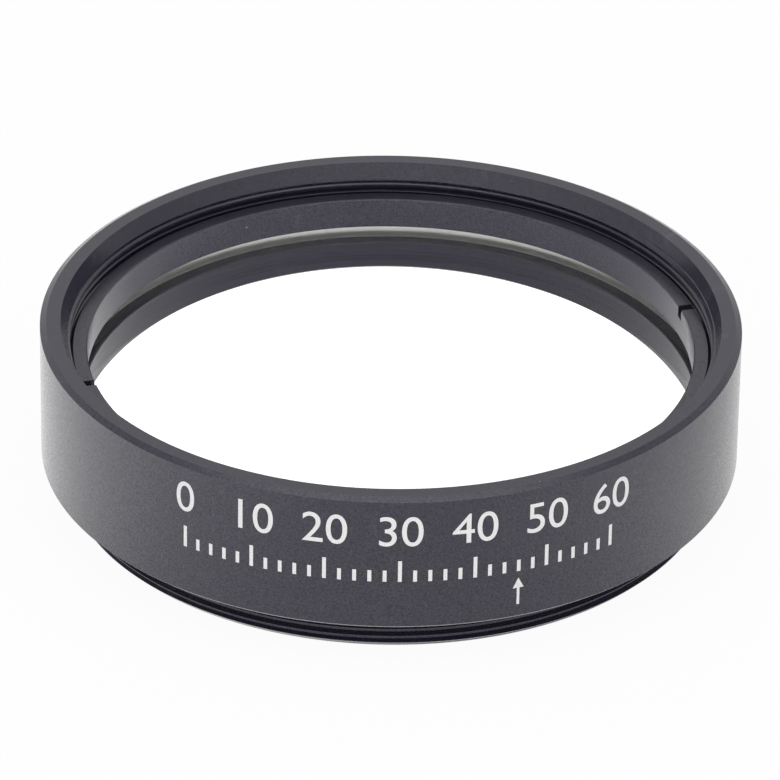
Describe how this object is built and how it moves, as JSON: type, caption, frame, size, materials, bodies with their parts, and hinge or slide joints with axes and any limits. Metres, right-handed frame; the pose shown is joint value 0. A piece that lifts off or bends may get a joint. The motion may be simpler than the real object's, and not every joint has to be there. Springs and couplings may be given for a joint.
{
  "type": "mounted achromatic doublet lens",
  "caption": "Cemented achromatic doublet held by a slotted retaining ring in a black threaded ring mount, standing on its male thread with the steeper face up.",
  "frame": {"origin": "centre of the male thread's end face, which the part stands on", "axes": "+Z along the optical axis, towards the steeper face, the retaining ring and the female thread; the spanner slots lie on a line 16 degrees anticlockwise from +X, seen from +Z"},
  "size_m": [0.0558, 0.0558, 0.0147],
  "materials": {
    "black_anodised": "black anodised, fine turned satin",
    "black_anodised_ring": "black anodised, satin",
    "crown_glass": "polished and antireflection coated, ground edge",
    "flint_glass": "polished and antireflection coated, ground edge",
    "white_ink": "thin flat white ink on the mount's wall"
  },
  "bodies": {
    "root": {"threaded_mount": "black_anodised", "retaining_ring": "black_anodised_ring", "crown_element": "crown_glass", "flint_element": "flint_glass"}
  },
  "joints": []
}
